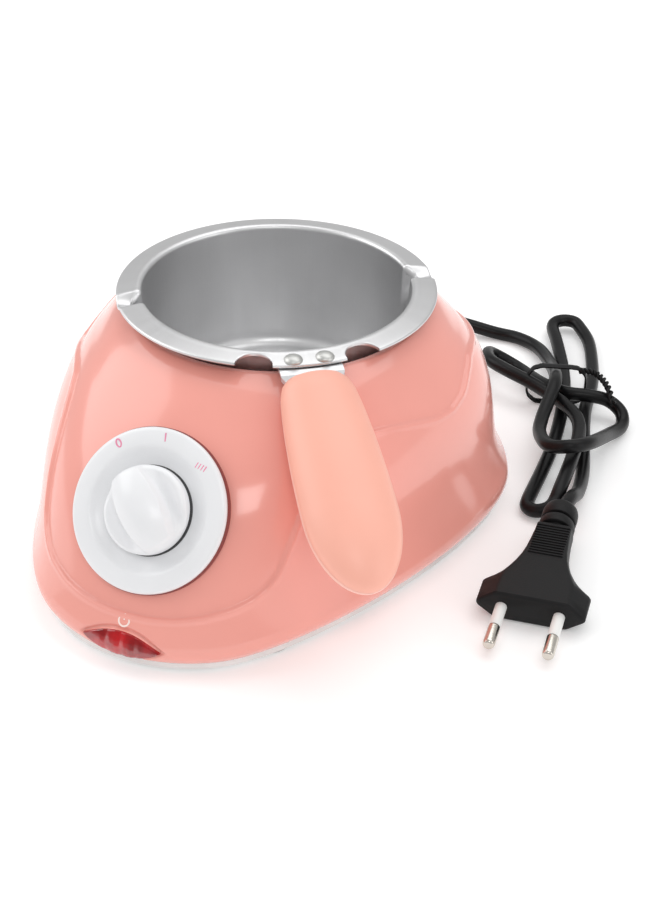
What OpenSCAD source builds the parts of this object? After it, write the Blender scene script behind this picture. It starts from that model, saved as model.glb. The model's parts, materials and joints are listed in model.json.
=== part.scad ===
// Wax warmer: tapered housing, heated well, lift-out pot, four-mark dial and a tied mains cord.
// The origin is the centre of the footprint on the resting surface; the dial faces -Y, +Z is up.

/* [Housing] */
// Distance of the pot's axis behind the origin
pot_y = 15.5; // [15:0.5:16]
// Height of the housing's bottom edge
base_z = 4; // [3:0.5:5]
// Height of the round mouth's top
mouth_z = 73.5; // [72:0.5:74]
// Outer radius of the mouth
mouth_r = 50; // [49.5:0.5:51]
// Wall thickness of the housing
wall = 2.6; // [2:0.1:3]
// Roundness of the bottom edge
edge_round = 7; // [5:0.5:8]

/* [Dial] */
// Slope of the dial face from the horizontal
dial_slope = 55; // [54:0.5:56]
// Distance of the dial's centre in front of the pot's axis
dial_front = 90.3; // [90:0.1:91]
// Height of the dial's centre
dial_z = 44.4; // [44:0.1:45]
// Outer radius of the bezel
bezel_r = 25.5; // [25:0.1:26]
// Outer radius of the knob
knob_r = 14.3; // [13.5:0.1:14.6]
// Height of the knob's finger bar above the seat
knob_h = 13; // [11:0.5:15]
// Angle of the finger bar at the off mark, from the up-slope line
off_angle = 42; // [0:1:60]

/* [Pot] */
// Radius of the pot's opening
pot_r = 44.5; // [44:0.1:44.8]
// Outer radius of the flange
flange_r = 53; // [52:0.5:54]
// Height of the flange's inner crest
crest_z = 79.6; // [79:0.1:81]
// Inside depth of the pot
pot_depth = 45; // [44:0.5:45.5]
// Sheet thickness of the pot
pot_t = 0.9; // [0.7:0.1:1]
// Direction of the handle, from the front towards +X
handle_angle = 36.8; // [34:0.1:40]

/* [Handle] */
// Downward slope of the grip
grip_slope = 27.5; // [26:0.1:29]
// Turn of the grip about the bracket, towards +X
grip_yaw = 2.5; // [0:0.5:3]
// Length of the grip
grip_len = 74; // [70:1:75]
// Greatest width of the grip
grip_w = 29.4; // [26:0.2:30]
// Greatest thickness of the grip
grip_h = 18; // [14:1:18]

/* [Cord] */
// Diameter of the mains cord
cord_d = 5; // [4:0.1:5]
// Height of the cord's outlet
outlet_z = 12; // [11:0.5:13]
// Length of the strain relief outside the housing
relief_len = 24; // [20:1:26]
// Nose-down tilt of the plug as it lies
plug_tilt = 5; // [4:0.5:6]
// Turn of the plug as it lies
plug_turn = 7.5; // [6:0.5:10]

/* [Hidden] */
$fn = 64;

// Control values of the housing's egg-shaped sections, from the bottom edge to the mouth.
rear_radius = [85, 64, 87, mouth_r];
rear_shift = [2, 0, -1, 0];
front_radius = [57, 55, 66, mouth_r];
front_shift = [61, 42, 42, 0];
ring_count = 72;
level_count = 24;
tuck_share = 0.12;
flat_blend = 1.5;

dial_at = [0, pot_y - dial_front, dial_z];
dial_normal = [0, -sin(dial_slope), cos(dial_slope)];
flange_z = crest_z - 1.1;
pot_floor_z = crest_z - pot_depth;
pot_foot_r = pot_r - 2.5;
well_gap = 0.7;
well_t = 0.8;
well_floor_z = pot_floor_z - pot_t - 0.2;
well_top_z = 70.7;
ledge_z = 60.4;
outlet_y = 96;
cord_r = cord_d / 2;
cord_low = cord_r + 0.1;

lens_z = 8.6;
lens_half_w = 13.5;
lens_half_h = 4.6;

grip_start = [57, 0, 75];
screw_posts = [[39, -50], [-39, -50], [43, 50], [-43, 50]];
foot_places = [[36, -66], [-36, -66], [48, 64], [-48, 64]];
well_screw_angles = [30, 150, 270];

pin_len = 19;
pin_gap = 18.6;
pin_r = 2;
sleeve_len = 10;
sleeve_r = 1.75;
plug_half_h = 5.5;
plug_len = 40;
plug_at = [107, -24.5, plug_half_h + 0.1];

// Route of the free cord: outlet, round behind the housing, then the hank's right, left,
// lower and upper loops, and on to the plug.
cord_route = [
    [0, 120, 12], [2, 131, 10.5], [14, 145.5, 6.5], [32.5, 150.5, cord_low], [43, 150, cord_low],
    [53.5, 143.5, 3.5], [64, 126.5, 7], [72, 105.5, 14], [73.5, 93.5, 12], [74.5, 83, 10],
    [77, 73, 10], [84, 61.5, 13], [92, 60, 15.5], [97, 67.5, 14], [98, 89.5, 5.5],
    [99.5, 101.5, cord_low], [97.5, 108, 4.5], [91.5, 110.5, 7], [84.5, 108.5, 8.5],
    [76, 107, 8.5], [65, 113, 6.5], [51, 127, cord_low], [42.5, 127.5, 5.5], [39.5, 123, 9],
    [43.5, 114, 11], [51.5, 109.5, 11], [60.5, 107, 10], [68.5, 104, 9], [77.5, 99, 8.5],
    [85, 91.5, 8.5], [89.5, 80.5, 8.5], [92.5, 62.5, 9], [94, 46, 7.4], [94, 39.4, 5],
    [92.6, 36, 4], [89.2, 34.6, 3], [85.8, 36, cord_low], [84.4, 39.4, cord_low],
    [83.6, 48, cord_low], [82.6, 61, cord_low], [81, 76, cord_low], [77.5, 96.5, cord_low],
    [72.5, 117, cord_low], [66.5, 134, cord_low], [57.5, 153, 3.5], [53, 162, 3.5],
    [52.5, 166.2, 4], [55, 169.6, 4], [59.2, 170.1, 4], [62.6, 167.5, 3.5],
    [69.5, 158, cord_low], [76.5, 140, cord_low], [80.5, 126, cord_low], [84.5, 104.5, cord_low],
    [91, 82.5, cord_low], [96.5, 64, cord_low], [99.6, 48, 5.6], [100.2, 37.6, 9.6],
    [100.1, 28.1, 10.2]];

// ---- shared geometry ----

function bez(p, t) = pow(1 - t, 3) * p[0] + 3 * t * pow(1 - t, 2) * p[1]
    + 3 * t * t * (1 - t) * p[2] + pow(t, 3) * p[3];
function ease(u) = u * u * (3 - 2 * u);
function clamp01(u) = min(1, max(0, u));
function rear_share(a) = ease(clamp01((sin(a) + 0.85) / 1.2));
function tuck(t) = edge_round * pow(max(0, 1 - t / tuck_share), 2);
function soft_below(s) = s < -20 ? s : -flat_blend * ln(1 + exp(-s / flat_blend));

// A point pulled back behind the dial's plane, set in by an inset.
function behind_dial(p, inset) =
    let(s = (p - dial_at) * dial_normal + inset)
    p - (s - soft_below(s)) * dial_normal;

// A point of the housing's surface at angle a and share t of its height, set in by an inset.
function skin_point(a, t, inset) =
    let(w = rear_share(a),
        rf = bez(front_radius, t),
        rr = bez(rear_radius, t),
        sf = bez(front_shift, t),
        sr = bez(rear_shift, t),
        r = rf + (rr - rf) * w - tuck(t) - inset,
        y = -sf + (sr + sf) * w + r * sin(a),
        z = base_z + (mouth_z - base_z - inset) * t)
    behind_dial([r * cos(a), pot_y + y, z], inset);

function skin_ring(t, inset, n) = [for (j = [0:n - 1]) skin_point(360 * j / n, t, inset)];

// Side and end faces of m rings of n points each.
function ring_faces(n, m) = concat(
    [for (i = [0:m - 2], j = [0:n - 1]) [(i + 1) * n + j, i * n + (j + 1) % n, i * n + j]],
    [for (i = [0:m - 2], j = [0:n - 1])
        [(i + 1) * n + j, (i + 1) * n + (j + 1) % n, i * n + (j + 1) % n]],
    [[for (j = [0:n - 1]) j]],
    [[for (j = [n - 1:-1:0]) (m - 1) * n + j]]);

module loft(rings) {
    n = len(rings[0]);
    polyhedron([for (r = rings, p = r) p], ring_faces(n, len(rings)));
}

// The solid inside the housing's surface, set in by an inset.
module skin(inset, n = ring_count, m = level_count) {
    loft([for (i = [0:m]) skin_ring(i / m, inset, n)]);
}

function unit(v) = v / norm(v);
function catmull(a, b, c, d, t) = 0.5 * ((2 * b) + (c - a) * t
    + (2 * a - 5 * b + 4 * c - d) * t * t + (3 * b - a - 3 * c + d) * t * t * t);

// A smooth curve through the points, with k steps between neighbours.
function smooth_path(p, k) = let(n = len(p)) concat(
    [for (i = [0:n - 2], j = [0:k - 1])
        catmull(p[max(0, i - 1)], p[i], p[i + 1], p[min(n - 1, i + 2)], j / k)],
    [p[n - 1]]);

function path_ring(c, i, r, n) =
    let(last = len(c) - 1,
        t = unit(c[min(last, i + 1)] - c[max(0, i - 1)]),
        side = unit(cross([0, 0, 1], t)),
        up = cross(t, side))
    [for (j = [0:n - 1]) c[i] + r * (cos(360 * j / n) * side + sin(360 * j / n) * up)];

// A round tube along a smooth curve through the points.
module sweep(points, r, k = 2, n = 8) {
    c = smooth_path(points, k);
    loft([for (i = [0:len(c) - 1]) path_ring(c, i, r, n)]);
}

module at_pot() { translate([0, pot_y, 0]) children(); }
module at_handle() { at_pot() rotate([0, 0, handle_angle - 90]) children(); }
module at_grip() { at_handle() translate(grip_start) rotate([0, grip_slope, grip_yaw]) children(); }
module at_dial() { translate(dial_at) rotate([dial_slope, 0, 0]) children(); }
module at_plug() { translate(plug_at) rotate([plug_tilt, 0, plug_turn]) children(); }

module ring(r_out, r_in, h) {
    difference() {
        cylinder(r = r_out, h = h);
        translate([0, 0, -1]) cylinder(r = r_in, h = h + 2);
    }
}

// Screw along +Z from a head at z = 0 down to -len.
module screw(r, len, head_r, head_h) {
    difference() {
        union() {
            cylinder(r = head_r, h = head_h);
            translate([0, 0, -len]) cylinder(r = r, h = len);
        }
        for (a = [0, 90]) rotate([0, 0, a])
            translate([-head_r * 0.6, -0.35, head_h - 0.8]) cube([head_r * 1.2, 0.7, 1]);
    }
}

// Pointed-oval prism through the front of the housing.
module lens_prism(grow) {
    r = (lens_half_w * lens_half_w + lens_half_h * lens_half_h) / (2 * lens_half_h);
    intersection() {
        for (s = [-1]) translate([0, -60, lens_z + s * (r - lens_half_h)])
            rotate([90, 0, 0]) cylinder(r = r + grow, h = 60, $fn = 96);
        for (s = [1]) translate([0, -60, lens_z + s * (r - lens_half_h)])
            rotate([90, 0, 0]) cylinder(r = r + grow, h = 60, $fn = 96);
    }
}

// ---- casing ----

module upper_housing() {
    color([0.96, 0.66, 0.60]) difference() {
        union() {
            difference() {
                skin(0);
                translate([0, 0, -0.01]) skin(wall, 60, 20);
            }
            intersection() {
                union() {
                    for (p = screw_posts) translate([p[0], p[1], 6]) cylinder(r = 4.5, h = 60);
                    at_pot() for (a = well_screw_angles) rotate([0, 0, a])
                        translate([44, -4, ledge_z]) cube([34, 8, 2]);
                }
                skin(1, 48, 16);
            }
        }
        at_pot() cylinder(r = 47.3, h = 90, $fn = 96);
        at_dial() translate([0, 0, -8]) cylinder(r = 22.6, h = 20);
        at_dial() translate([0, 0, -1.2]) cylinder(r = bezel_r + 0.35, h = 20);
        lens_prism(0.2);
        for (p = screw_posts) translate([p[0], p[1], 0]) cylinder(r = 1.4, h = 24);
        at_pot() for (a = well_screw_angles) rotate([0, 0, a]) translate([49.2, 0, ledge_z - 2])
            cylinder(r = 1, h = 6, $fn = 24);
        translate([0, outlet_y - 16, outlet_z]) rotate([-90, 0, 0]) cylinder(r = 4.6, h = 30);
    }
}

module base_plate() {
    foot_ring = [for (p = skin_ring(0, 0.6, ring_count)) [p[0], p[1]]];
    lip_outer = [for (p = skin_ring(0, wall + 1, ring_count)) [p[0], p[1]]];
    lip_inner = [for (p = skin_ring(0, wall + 2.2, ring_count)) [p[0], p[1]]];
    color([0.93, 0.92, 0.91]) difference() {
        union() {
            translate([0, 0, 1.5]) linear_extrude(base_z - 1.5) polygon(foot_ring);
            translate([0, 0, base_z - 0.5]) linear_extrude(3.5) difference() {
                polygon(lip_outer);
                polygon(lip_inner);
            }
            for (p = screw_posts) translate([p[0], p[1], 2]) cylinder(r = 5, h = 4);
        }
        for (p = screw_posts) translate([p[0], p[1], 0]) {
            cylinder(r = 1.8, h = 10);
            cylinder(r = 3.4, h = 3.4);
        }
        for (i = [-4:4]) translate([i * 7 - 1.5, 1, 0]) cube([3, 30, 10]);
        translate([-16, -110, base_z]) cube([32, 24, 8]);
    }
}

module feet() {
    color([0.88, 0.87, 0.86]) for (p = foot_places) translate([p[0], p[1], 0])
        cylinder(r = 6, h = 1.5);
}

module housing_screws() {
    color("silver") for (p = screw_posts) translate([p[0], p[1], 3.4]) rotate([180, 0, 0])
        screw(1.4, 14, 3, 1.2);
}

// ---- heating ----

module heater_well() {
    top_r = pot_r + pot_t + well_gap;
    foot_r = pot_foot_r + pot_t + well_gap;
    z0 = well_floor_z - well_t;
    color([0.78, 0.79, 0.80]) at_pot() {
        rotate_extrude($fn = 96) polygon([
            [0, z0], [foot_r - 1.4, z0], [foot_r + well_t, z0 + 2.6],
            [top_r + well_t - 0.3, ledge_z + 5.6], [50.8, ledge_z + 5.6], [50.8, ledge_z + 6.4],
            [top_r + well_t - 0.2, ledge_z + 6.4], [top_r + well_t, well_top_z],
            [top_r, well_top_z], [foot_r, z0 + 3.2], [foot_r - 1.8, well_floor_z],
            [0, well_floor_z]]);
        translate([0, 0, z0 - 15]) cylinder(r = 2, h = 15.2, $fn = 32);
    }
}

module well_ring() {
    color([0.25, 0.24, 0.23]) at_pot() difference() {
        translate([0, 0, ledge_z + 2]) cylinder(r = 50.8, h = 3.6, $fn = 96);
        translate([0, 0, 50]) cylinder(r = 47.6, h = 22, $fn = 96);
        for (a = well_screw_angles) rotate([0, 0, a]) translate([49.2, 0, 50])
            cylinder(r = 0.9, h = 22, $fn = 24);
    }
}

module well_screws() {
    color("silver") at_pot() for (a = well_screw_angles) rotate([0, 0, a])
        translate([49.2, 0, ledge_z]) rotate([180, 0, 0]) screw(0.8, 5, 1.5, 1);
}

module heating_element() {
    top = well_floor_z - well_t;
    color([0.55, 0.53, 0.50]) at_pot() translate([0, 0, top - 5]) ring(34, 12, 5);
}

module heater_clamp() {
    top = well_floor_z - well_t - 5;
    color([0.70, 0.70, 0.70]) at_pot() translate([0, 0, top - 1.2]) difference() {
        cylinder(r = 36, h = 1.2);
        translate([0, 0, -1]) cylinder(r = 2.2, h = 4, $fn = 32);
        for (a = [0:60:300]) rotate([0, 0, a]) translate([24, 0, -1]) cylinder(r = 4, h = 4);
    }
}

module clamp_nut() {
    top = well_floor_z - well_t - 6.2;
    color("silver") at_pot() translate([0, 0, top - 3.2]) difference() {
        cylinder(r = 4, h = 3.2, $fn = 6);
        translate([0, 0, -1]) cylinder(r = 2.05, h = 6, $fn = 32);
    }
}

module thermal_fuse() {
    z = well_floor_z - well_t - 6.2 - 2.6;
    color([0.85, 0.80, 0.70]) at_pot() translate([-20, -10, z]) rotate([90, 0, 0]) {
        cylinder(r = 2.5, h = 14, center = true);
        cylinder(r = 0.5, h = 26, center = true, $fn = 16);
    }
}

// ---- dial and switch ----

module rotary_switch() {
    color([0.20, 0.20, 0.22]) at_dial() difference() {
        union() {
            translate([-13, -13, -17.5]) cube([26, 26, 14]);
            translate([0, 0, -4]) cylinder(r = 4.5, h = 6.6);
        }
        translate([0, 0, -15]) cylinder(r = 3.06, h = 30, $fn = 48);
    }
}

module switch_nut() {
    color("silver") at_dial() translate([0, 0, -0.5]) difference() {
        cylinder(r = 7, h = 2.3, $fn = 6);
        translate([0, 0, -1]) cylinder(r = 4.55, h = 5);
    }
}

module switch_terminals() {
    color([0.85, 0.72, 0.40]) at_dial() for (x = [-9, -3, 3, 9])
        translate([x - 0.4, -3, -25]) cube([0.8, 6, 7.5]);
}

module switch_shaft() {
    color([0.80, 0.80, 0.78]) at_dial() translate([0, 0, -14]) difference() {
        cylinder(r = 3, h = 23.4, $fn = 48);
        translate([1.8, -4, 16]) cube([4, 8, 10]);
    }
}

module control_knob() {
    bar_r = 17;
    bar_w = 7.6;
    color([0.95, 0.95, 0.95]) at_dial() rotate([0, 0, off_angle]) difference() {
        union() {
            rotate_extrude($fn = 96) polygon([[0, 0.4], [knob_r - 0.6, 0.4], [knob_r, 1],
                [knob_r, 4.4], [knob_r - 0.5, 5.5], [knob_r - 1.6, 6.2], [0, 6.2]]);
            intersection() {
                cylinder(r = knob_r - 0.3, h = knob_h);
                for (s = [-1]) translate([s * (bar_r - bar_w), 0, 0])
                    cylinder(r = bar_r, h = knob_h, $fn = 96);
                for (s = [1]) translate([s * (bar_r - bar_w), 0, 0])
                    cylinder(r = bar_r, h = knob_h, $fn = 96);
                translate([0, 0, knob_h - 60]) rotate([0, 90, 0])
                    cylinder(r = 60, h = 40, center = true, $fn = 96);
            }
        }
        translate([0, 0, -1]) cylinder(r = 9, h = 4.4);
        rotate([0, 0, -off_angle]) translate([0, 0, 3]) difference() {
            cylinder(r = 3.02, h = 6.5, $fn = 48);
            translate([1.82, -4, -1]) cube([4, 8, 10]);
        }
    }
}

module dial_bezel() {
    color([0.96, 0.96, 0.96]) at_dial() rotate_extrude($fn = 96) polygon([
        [4.6, -2.3], [15.6, -2.3], [17.2, -1.4], [20.6, -0.6], [20.6, -3.4], [22.4, -3.4],
        [22.4, -1.2], [bezel_r, -1.2], [bezel_r, 0.7], [bezel_r - 0.3, 1.3], [bezel_r - 1, 1.7],
        [20, 1.9], [18.4, 1.5], [16.6, 0.3], [15.4, -0.4], [14.8, -0.5], [4.6, -0.5]]);
}

module power_lens() {
    color([0.75, 0.08, 0.08]) intersection() {
        difference() {
            skin(-0.3, 72, 24);
            translate([0, 0, -0.01]) skin(2.2, 60, 20);
        }
        lens_prism(0);
    }
}

module neon_lamp() {
    color([0.95, 0.60, 0.40]) translate([0, -88, lens_z]) rotate([0, 90, 0]) {
        cylinder(r = 2.6, h = 12, center = true);
        translate([0, 0, -10]) cylinder(r = 0.4, h = 20, $fn = 16);
    }
}

module lamp_holder() {
    color([0.90, 0.90, 0.88]) difference() {
        translate([-9, -90, base_z]) cube([18, 7, lens_z - base_z]);
        translate([0, -88, lens_z]) rotate([0, 90, 0]) cylinder(r = 2.62, h = 30, center = true);
    }
}

// ---- wiring inside ----

module terminal_block() {
    color([0.92, 0.92, 0.90]) difference() {
        translate([-40, 64, base_z]) cube([24, 14, 12]);
        for (x = [-36, -28, -20]) {
            translate([x, 60, base_z + 6]) rotate([-90, 0, 0]) cylinder(r = 1.6, h = 30, $fn = 24);
            translate([x, 73, base_z + 6]) cylinder(r = 1.7, h = 10, $fn = 24);
        }
    }
}

module terminal_screws() {
    color([0.80, 0.70, 0.40]) for (x = [-36, -28, -20]) translate([x, 73, base_z + 7.8])
        cylinder(r = 1.6, h = 3.4, $fn = 24);
}

module wiring() {
    t = well_floor_z - well_t - 8;
    color([0.12, 0.12, 0.12]) translate([0, 74, outlet_z]) rotate([-90, 0, 0])
        cylinder(r = cord_r - 0.05, h = outlet_y - 8 - 74, $fn = 32);
    color([0.55, 0.35, 0.20])
        sweep([[-1, 73.8, 12], [-8, 58, 13], [-24, 55, 11], [-28, 62, 10]], 0.9, 4, 8);
    color([0.20, 0.35, 0.70])
        sweep([[1, 73.8, 12.6], [-6, 55, 15], [-30, 52, 12], [-36, 62, 10]], 0.9, 4, 8);
    color([0.85, 0.85, 0.80])
        sweep([[-36, 78.2, 10], [-42, 75, 10], [-55, 50, 9], [-54, 0, 9], [-30, -40, 16],
            [-9, -49, 24], [-9, -54, 28]], 0.9, 4, 8);
    color([0.85, 0.30, 0.25])
        sweep([[9, -54, 28], [9, -44, 22], [10, -20, 14], [4, 0, 15], [-20, -10, t - 3]], 0.9, 4, 8);
    color([0.85, 0.60, 0.25])
        sweep([[-3, -54, 28], [-8, -60, 18], [-16, -76, 9], [-12, -88, lens_z]], 0.9, 4, 8);
}

module cord_clamp() {
    color([0.90, 0.90, 0.88]) difference() {
        translate([-11, 80, base_z]) cube([22, 7, 12]);
        translate([0, 70, outlet_z]) rotate([-90, 0, 0]) cylinder(r = cord_r, h = 30, $fn = 32);
        for (x = [-7.5, 7.5]) translate([x, 83.5, 0]) cylinder(r = 1.3, h = 20, $fn = 24);
    }
}

module clamp_screws() {
    color("silver") for (x = [-7.5, 7.5]) translate([x, 83.5, base_z + 12])
        screw(1.25, 9, 2.4, 1.4);
}

// ---- cord and plug ----

module strain_relief() {
    tip = relief_len;
    color([0.10, 0.10, 0.10]) translate([0, outlet_y, outlet_z]) rotate([-90, 0, 0]) {
        union() {
            translate([0, 0, -5]) cylinder(r = 4.4, h = 8);
            translate([0, 0, -8]) cylinder(r = 6, h = 3);
            cylinder(r1 = 6, r2 = 5.4, h = 2.5);
            for (i = [0:5]) translate([0, 0, 2.5 + i * 3.4])
                cylinder(r1 = 4.8 - i * 0.22, r2 = 4.6 - i * 0.22, h = 2.2);
            cylinder(r1 = 4, r2 = 3.1, h = tip);
        }
    }
}

module mains_cord() { color([0.07, 0.07, 0.07]) sweep(cord_route, cord_r, 1, 8); }

// Twist tie: a band round the crossing strands and its twisted tail.
module cord_tie() {
    color([0.05, 0.05, 0.05]) {
        translate([70.5, 112, 0.1]) rotate([90, 0, 20]) linear_extrude(3, center = true)
            difference() {
                translate([-11.5, 0]) square([23, 16.4]);
                translate([-10.5, 0.7]) square([21, 14.9]);
            }
        sweep([[79, 115, 14], [84, 117, 13], [90, 112, 12], [95, 104, 9.5]], 1.4, 4, 8);
    }
}

// Half width of the plug against the distance behind its nose.
plug_outline = [[0, 16.6], [1, 17.6], [10.5, 17.6], [12.5, 14.6], [15, 12.2], [18, 10.1],
    [22, 8.4], [26, 7.4], [31, 6.8], [plug_len, 6.4]];

module plug_body() {
    half = [for (p = plug_outline) [p[1], p[0]]];
    plan = concat(half, [for (i = [len(half) - 1:-1:0]) [-half[i][0], half[i][1]]]);
    h = plug_half_h;
    side = [[0, 0.8 - h], [0.8, -h], [18, -h], [plug_len, -5], [plug_len, 5], [18, h], [0.8, h],
        [0, h - 0.8]];
    front = [[17.6, 0], [11.6, h], [-11.6, h], [-17.6, 0], [-11.6, -h], [11.6, -h]];
    color([0.09, 0.09, 0.10]) at_plug() difference() {
        intersection() {
            linear_extrude(30, center = true) polygon(plan);
            rotate([90, 0, 90]) linear_extrude(60, center = true) polygon(side);
            rotate([90, 0, 0]) translate([0, 0, -50]) linear_extrude(60) polygon(front);
        }
        for (x = [-pin_gap / 2, pin_gap / 2]) translate([x, -1, 0]) rotate([-90, 0, 0])
            cylinder(r = 1.8, h = 9, $fn = 32);
    }
}

module plug_grips() {
    color([0.06, 0.06, 0.06]) at_plug() for (s = [-1, 1], i = [0:6])
        translate([-5.5, 23 + i * 2.3, s * (5.4 - i * 0.05) - 0.5]) cube([11, 1.3, 1]);
}

module plug_collar() {
    color([0.08, 0.08, 0.08]) at_plug() translate([0, plug_len, 0]) rotate([-90, 0, 0])
        rotate_extrude($fn = 48) polygon([[0, 0], [4.9, 0], [4.9, 0.8], [5.9, 0.8], [6.1, 1.2],
            [6.1, 4.4], [5.8, 4.8], [4.8, 4.8], [4.8, 6], [5.7, 6], [6, 6.4], [6, 11.2],
            [5.5, 12.5], [4.6, 13.3], [0, 13.3]]);
}

module pin_sleeves() {
    color([0.95, 0.95, 0.93]) at_plug() for (x = [-pin_gap / 2, pin_gap / 2])
        translate([x, 0, 0]) rotate([90, 0, 0]) ring(sleeve_r, 1.5, sleeve_len);
}

module plug_pins() {
    color([0.78, 0.76, 0.72]) at_plug() for (x = [-pin_gap / 2, pin_gap / 2])
        translate([x, 8, 0]) rotate([90, 0, 0]) {
            cylinder(r = 1.5, h = 8 + sleeve_len, $fn = 32);
            translate([0, 0, 8 + sleeve_len]) cylinder(r = pin_r, h = pin_len - sleeve_len - 1, $fn = 48);
            translate([0, 0, 7 + pin_len]) cylinder(r1 = pin_r, r2 = 1.1, h = 1, $fn = 48);
        }
}

// ---- pot and handle ----

module pot() {
    z0 = pot_floor_z - pot_t;
    wall_top = crest_z - 1.6;
    color([0.80, 0.81, 0.82]) at_handle() difference() {
        union() {
            rotate_extrude($fn = 128) polygon([
                [0, z0], [pot_foot_r - 4, z0], [pot_foot_r - 0.6, z0 + 1.6],
                [pot_foot_r + pot_t, z0 + 5], [pot_r + pot_t, wall_top - 1],
                [pot_r + 1.6, wall_top + 0.3], [flange_r, flange_z - pot_t],
                [flange_r, flange_z], [pot_r + 2.4, crest_z - 0.1], [pot_r + 1.2, crest_z],
                [pot_r + 0.3, crest_z - 0.5], [pot_r, wall_top], [pot_foot_r, z0 + 5.2],
                [pot_foot_r - 1.6, pot_floor_z + 1.2], [pot_foot_r - 4, pot_floor_z],
                [30, pot_floor_z], [28.6, pot_floor_z + 0.9], [0, pot_floor_z + 0.9]]);
            for (s = [-1, 1]) intersection() {
                translate([0, s * 43, flange_z + 0.2]) rotate([-90 * s, 0, 0])
                    cylinder(r1 = 5.2, r2 = 0.9, h = 9.4, $fn = 48);
                difference() {
                    translate([0, 0, 70]) cylinder(r = flange_r, h = flange_z - 70);
                    cylinder(r = pot_r + 0.3, h = 100);
                }
            }
        }
        for (s = [-1, 1]) translate([0, s * 42, flange_z + 0.9]) rotate([-90 * s, 0, 0])
            cylinder(r1 = 5.2, r2 = 0.2, h = 9.6, $fn = 48);
        for (s = [-1, 1]) rotate([0, 0, s * 19.3]) translate([flange_r + 0.3, 0, 60])
            cylinder(r = 6, h = 40, $fn = 48);
        for (s = [-5, 5]) translate([50, s, 60]) cylinder(r = 1.3, h = 40, $fn = 32);
    }
}

// Outline of a strip of the given thickness along a bent line.
function strip(p, t) =
    let(n = len(p),
        d = [for (i = [0:n - 1]) unit(p[min(n - 1, i + 1)] - p[max(0, i - 1)])])
    concat([for (i = [0:n - 1]) p[i] + t / 2 * [-d[i][1], d[i][0]]],
        [for (i = [n - 1:-1:0]) p[i] - t / 2 * [-d[i][1], d[i][0]]]);

module handle_bracket() {
    run = 24;
    line = [[47.6, 76.7], [53.6, 76.7], [55.4, 76.3], [57, 75],
        [57 + run * cos(grip_slope), 75 - run * sin(grip_slope)]];
    color([0.74, 0.75, 0.76]) at_handle() difference() {
        intersection() {
            rotate([90, 0, 0]) linear_extrude(20, center = true) polygon(strip(line, 1.2));
            translate([0, 0, 50]) linear_extrude(40)
                polygon([[40, -10], [56, -10], [62, -5], [90, -5], [90, 5], [62, 5], [56, 10], [40, 10]]);
        }
        for (s = [-5, 5]) translate([50, s, 60]) cylinder(r = 1.3, h = 40, $fn = 32);
        translate(grip_start) rotate([0, grip_slope, grip_yaw]) translate([17, 0, -5])
            cylinder(r = 1.9, h = 10, $fn = 32);
    }
}

module handle_rivets() {
    color([0.82, 0.82, 0.82]) at_handle() for (s = [-5, 5]) translate([50, s, 0]) {
        translate([0, 0, 75.2]) cylinder(r = 1.25, h = 4.6, $fn = 32);
        translate([0, 0, 78.95]) cylinder(r1 = 3, r2 = 2.4, h = 0.7, $fn = 32);
        translate([0, 0, 79.65]) cylinder(r1 = 2.4, r2 = 1.1, h = 0.6, $fn = 32);
        translate([0, 0, 75.2]) cylinder(r = 2.4, h = 0.9, $fn = 32);
    }
}

// The grip's underside is flatter where it passes the housing's mouth.
function under_share(u) = 1 - 0.6 * max(0, 1 - u / 0.5);
// Swell of the grip along its length: 0.68 where the bracket enters, 1 at its widest, 0 at its end.
function swell(u) = (0.68 + 0.32 * pow(sin(90 * min(1, u / 0.64)), 0.51))
    * (u < 0.64 ? 1 : sqrt(max(0, 1 - pow((u - 0.64) / 0.36, 2))));
function grip_share(i, m) = 1 - pow(1 - i / m, 1.6);
function grip_ring(u, inset, n) =
    let(x = inset + u * (grip_len - 2 * inset), w = swell(u) * grip_w / 2 - inset,
        h = swell(u) * grip_h / 2 - inset)
    [for (j = [0:n - 1]) [x, max(0.4, w) * cos(360 * j / n),
        max(0.4, h) * (j > n / 2 ? under_share(u) : 1) * sin(360 * j / n)]];

module grip_solid(inset, m = 26, n = 40) {
    loft([for (i = [0:m]) grip_ring(0.999 * grip_share(i, m), inset, n)]);
}

module grip_shell(upper) {
    difference() {
        intersection() {
            grip_solid(0);
            translate([-5, -30, upper ? 0.1 : -40.1]) cube([100, 60, 40]);
        }
        difference() {
            grip_solid(2, 20, 32);
            translate([17, 0, upper ? 0.7 : -30.7]) cylinder(r = 4, h = 30);
        }
        translate([-10, -6.3, -0.7]) cube([36, 12.6, 1.4]);
        translate([17, 0, upper ? -1 : -20]) cylinder(r = upper ? 1.3 : 1.7, h = upper ? 6 : 30, $fn = 32);
        if (!upper) translate([17, 0, -20]) cylinder(r = 3.2, h = 16.6, $fn = 32);
    }
}

module handle_outer_shell() { color([1.0, 0.74, 0.66]) at_grip() grip_shell(true); }
module handle_inner_shell() { color([1.0, 0.80, 0.75]) at_grip() grip_shell(false); }

module handle_screw() {
    color("silver") at_grip() translate([17, 0, -3.4]) rotate([180, 0, 0]) screw(1.3, 7.9, 3, 1.4);
}

upper_housing();
base_plate();
feet();
housing_screws();
heater_well();
well_ring();
well_screws();
heating_element();
heater_clamp();
clamp_nut();
thermal_fuse();
rotary_switch();
switch_nut();
switch_terminals();
switch_shaft();
control_knob();
dial_bezel();
power_lens();
neon_lamp();
lamp_holder();
terminal_block();
terminal_screws();
wiring();
cord_clamp();
clamp_screws();
strain_relief();
mains_cord();
cord_tie();
plug_body();
plug_grips();
plug_collar();
pin_sleeves();
plug_pins();
pot();
handle_bracket();
handle_rivets();
handle_outer_shell();
handle_inner_shell();
handle_screw();
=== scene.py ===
"""Wax warmer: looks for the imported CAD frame."""
import json
import math

import bpy
import numpy as np
from mathutils import Matrix, Vector
from mathutils.kdtree import KDTree


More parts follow.
